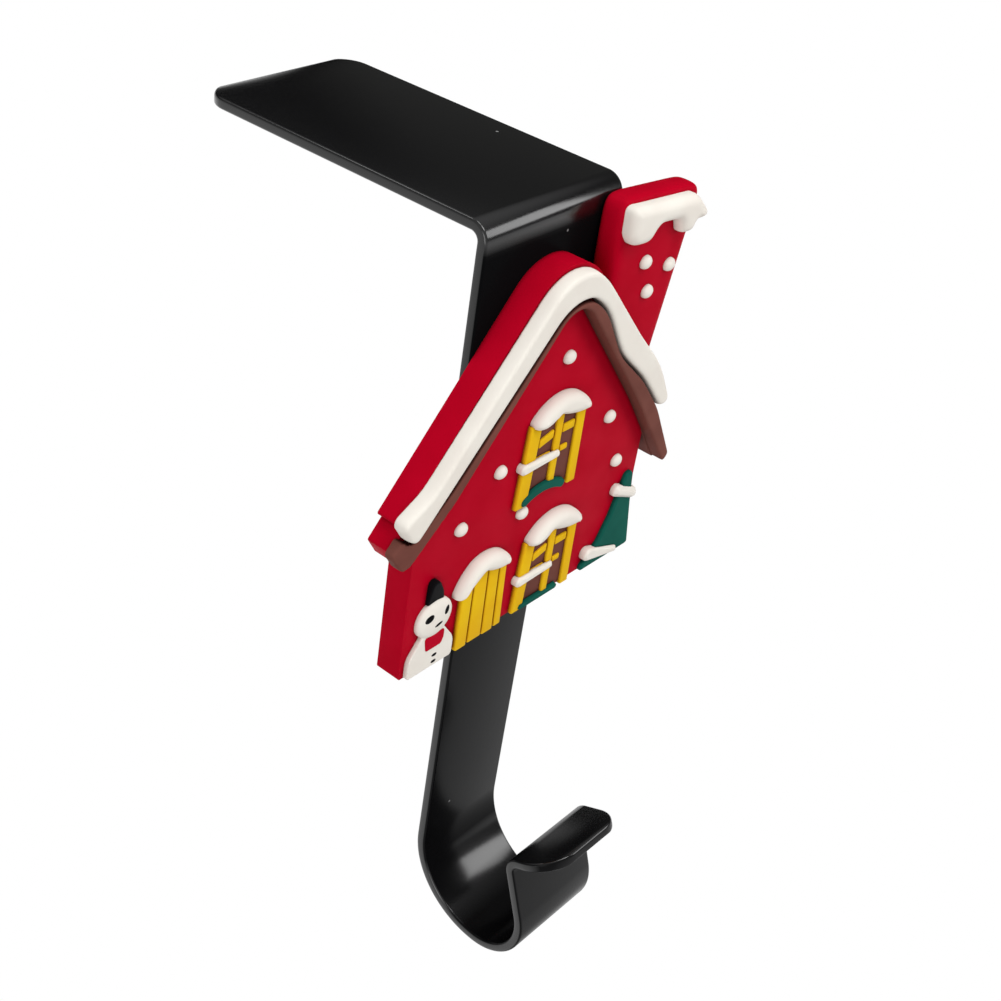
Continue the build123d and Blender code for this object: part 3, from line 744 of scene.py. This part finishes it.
def mark(node, skin):  # a spot of colour that follows the skin under it
    low, high = nodeBox(node)
    middle, half = (low + high) / 2, (high - low) / 2
    tilt, along, across = markSet["shapes"].get(node, (0, 1, 1))
    tilt = math.radians(tilt)
    halfX, halfZ = half.x * along, half.z * across
    shape = bmesh.new()

    def point(share, angle, rise):
        sideways, up = share * halfX * math.cos(angle), share * halfZ * math.sin(angle)
        x = middle.x + sideways * math.cos(tilt) - up * math.sin(tilt)
        z = middle.z + sideways * math.sin(tilt) + up * math.cos(tilt)
        hit = skin.ray_cast(Vector((x, wallFront - markSet["lookFrom"], z)), Vector((0, 1, 0)))[0]
        return shape.verts.new((x, hit.y - rise, z))

    around, rise = markSet["around"], markSet["rise"]
    angles = [math.tau * k / around for k in range(around)]
    top, under = point(0, 0, rise), point(0, 0, -markSet["middleSink"])
    rings = [[point(share, angle, rise * (1 - share ** markSet["fall"])) for angle in angles]
             for share in markSet["rings"]]
    rings.append([point(markSet["skirt"], angle, -markSet["skirtSink"]) for angle in angles])
    for k in range(around):
        after = (k + 1) % around
        shape.faces.new((top, rings[0][k], rings[0][after]))
        shape.faces.new((under, rings[-1][after], rings[-1][k]))
        for inner, outer in zip(rings, rings[1:]):
            shape.faces.new((inner[k], outer[k], outer[after], inner[after]))
    addPiece(node, asMesh(shape), "Spot")


for node in nodes:
    if node.startswith("snow_dot"):
        snowDot(node)
snowmanSkin = snowman()
for part in ("left_eye", "right_eye", "mouth", "upper_button", "lower_button"):
    mark("snowman_" + part, snowmanSkin)
print("dots and snowman made")

# Floor, world and lamps. The floor is white to the eye and in mirrors, and pale paper to the light.
# The world is dark behind the strap and bright behind the camera, overhead and low on the left,
# and each band is the stretch of direction over which that part comes in.
studio = {
    "floorDrop": 0.75, "floorSize": 14.0, "paper": (0.82, 0.82, 0.82, 1), "white": (1, 1, 1, 1),
    "towardCamera": (-0.8, -0.6, 0.0), "nearSky": (0.75, 0.75, 0.75, 1), "nearBand": (-0.25, 0.6),
    "towardRight": (0.69, -0.72, 0.0), "backLeft": (0.005, 0.005, 0.005, 1),
    "backRight": (0.05, 0.05, 0.048, 1), "backBand": (-0.04, 0.05),
    "lowCard": (0.85, 0.85, 0.85, 1), "cardHeight": (0.29, 0.14), "cardSide": (-0.06, -0.13),
    "overhead": (0.6, 0.6, 0.6, 1), "overheadBand": (0.5, 0.8),
}
lamps = {
    "keyLamp": {"at": (0.1, -0.5, 0.85), "size": 0.35, "power": 3.8},
    "topLamp": {"at": (0.1, -0.05, 1.0), "size": 0.4, "power": 2.0},
    "leftLamp": {"at": (-0.85, -0.35, 0.0), "size": 0.5, "power": 2.5},
    "edgeLamp": {"at": (-0.1, 0.62, 0.85), "size": 0.2, "power": 0.6},
    "bendLamp": {"at": (0.72, -0.72, 0.38), "size": 0.5, "power": 3.8},
}
lampAim = Vector((0, -0.01, -0.05))


def studioFloor():
    bpy.ops.mesh.primitive_plane_add(size=studio["floorSize"], location=(0, 0, -studio["floorDrop"]))
    floor = bpy.context.object
    floor.name = "studioFloor"
    paper = Finish("studio_paper")
    seen, mirrored, through = [paper.node("ShaderNodeLightPath", out=ray) for ray in (0, 3, 6)]
    showsWhite = paper.node("ShaderNodeMath", {"operation": "MAXIMUM"}, {0: seen, 1: mirrored})
    showsWhite = paper.node("ShaderNodeMath", {"operation": "MAXIMUM"}, {0: showsWhite, 1: through})
    matt = paper.node("ShaderNodeBsdfDiffuse", {}, {"Color": studio["paper"]})
    glow = paper.node("ShaderNodeEmission", {}, {"Color": studio["white"]})
    sheet = paper.node("ShaderNodeMixShader", {}, {0: showsWhite, 1: matt, 2: glow})
    paper.node("ShaderNodeOutputMaterial", {}, {"Surface": sheet})
    floor.data.materials.append(paper.material)


def studioSky():
    world = bpy.data.worlds.new("studio")
    bpy.context.scene.world = world
    world.use_nodes = True
    sky = Finish("studio", world.node_tree)
    direction = sky.node("ShaderNodeTexCoord")
    toward, rightward = [
        sky.node("ShaderNodeVectorMath", {"operation": "DOT_PRODUCT"}, {0: direction, 1: studio[way]}, 1)
        for way in ("towardCamera", "towardRight")]
    height = sky.parts(direction, 2)[0]
    lowCard = sky.spread(height, *studio["cardHeight"]) * sky.spread(rightward, *studio["cardSide"])
    glow = sky.mix(sky.spread(rightward, *studio["backBand"]), studio["backLeft"], studio["backRight"])
    glow = sky.mix(lowCard, glow, studio["lowCard"])
    glow = sky.mix(sky.spread(toward, *studio["nearBand"]), glow, studio["nearSky"])
    glow = sky.mix(sky.spread(height, *studio["overheadBand"]), glow, studio["overhead"])
    backdrop = sky.node("ShaderNodeBackground", {}, {"Color": glow})
    sky.node("ShaderNodeOutputWorld", {}, {"Surface": backdrop})


def addLamp(name):
    lamp = lamps[name]
    light = bpy.data.lights.new(name, "AREA")
    light.size, light.energy = lamp["size"], lamp["power"]
    stand = bpy.data.objects.new(name, light)
    bpy.context.scene.collection.objects.link(stand)
    stand.location = lamp["at"]
    stand.rotation_euler = (lampAim - stand.location).to_track_quat("-Z", "Y").to_euler()


studioFloor()
studioSky()
for name in lamps:
    addLamp(name)
print("studio lit")

# Camera at the photograph's angle
view = {"at": (-0.19031, -0.13510, 0.09903), "lens": 56.61, "sensor": 36.0, "shift": (0.0409, 0.0007),
        "right": (0.66125, -0.74111, 0.11623), "down": (-0.35534, -0.44590, -0.82153), "clip": (0.01, 50)}


def photoCamera():
    right, down = Vector(view["right"]).normalized(), Vector(view["down"])
    down = (down - right * down.dot(right)).normalized()
    ahead = right.cross(down)
    turn = Matrix((right, -down, -ahead)).transposed().to_4x4()
    eye = bpy.data.cameras.new("photoCamera")
    eye.lens, eye.sensor_width = view["lens"], view["sensor"]
    eye.shift_x, eye.shift_y = view["shift"]
    eye.clip_start, eye.clip_end = view["clip"]
    camera = bpy.data.objects.new("photoCamera", eye)
    bpy.context.scene.collection.objects.link(camera)
    camera.matrix_world = Matrix.Translation(view["at"]) @ turn
    bpy.context.scene.camera = camera
    bpy.context.scene.view_settings.view_transform = "Standard"


photoCamera()
print("camera set")
